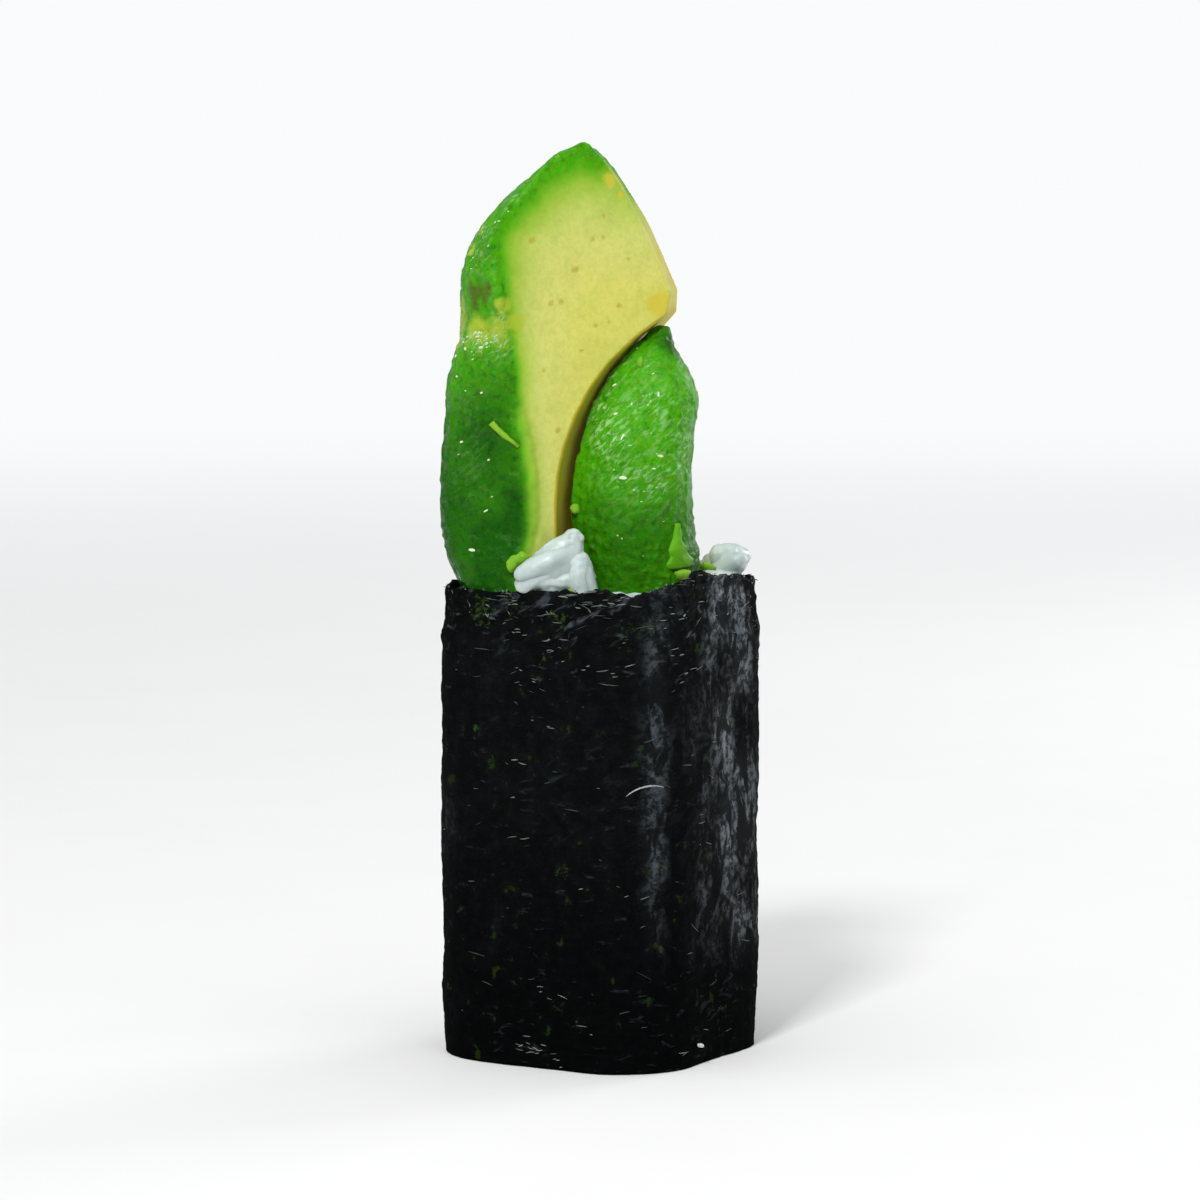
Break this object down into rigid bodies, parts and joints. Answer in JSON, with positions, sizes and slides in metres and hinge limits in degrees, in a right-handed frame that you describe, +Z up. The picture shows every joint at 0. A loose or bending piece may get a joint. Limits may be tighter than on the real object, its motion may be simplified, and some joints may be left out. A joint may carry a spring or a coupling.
{
  "type": "avocado maki",
  "caption": "Avocado maki stood on its cut end: a rounded square roll of rice in nori, with avocado slices that run through it and rise well above the rim",
  "frame": {"origin": "on the board under the middle of the whole piece's bounding box", "axes": "+Z is up along the roll, from the cut end it stands on to the tip of the long slice. -Y is the front, the side the picture was taken from. The roll's own flat sides are turned 31 degrees from X and Y, so that one corner comes nearly to the front"},
  "size_m": [0.0318, 0.0318, 0.09],
  "materials": {
    "nori": "nearly black pressed seaweed with a blue-grey sheen, short pale fibres and low crinkles",
    "rice": "translucent cool white cooked grains, slightly glossy",
    "avocado": "moist flesh, saturated green at the peeled side and pale yellow at the cut face"
  },
  "bodies": {
    "root": {"nori": "nori", "rice": "rice", "avocado_slice_long": "avocado", "avocado_slice_short": "avocado"}
  },
  "joints": []
}
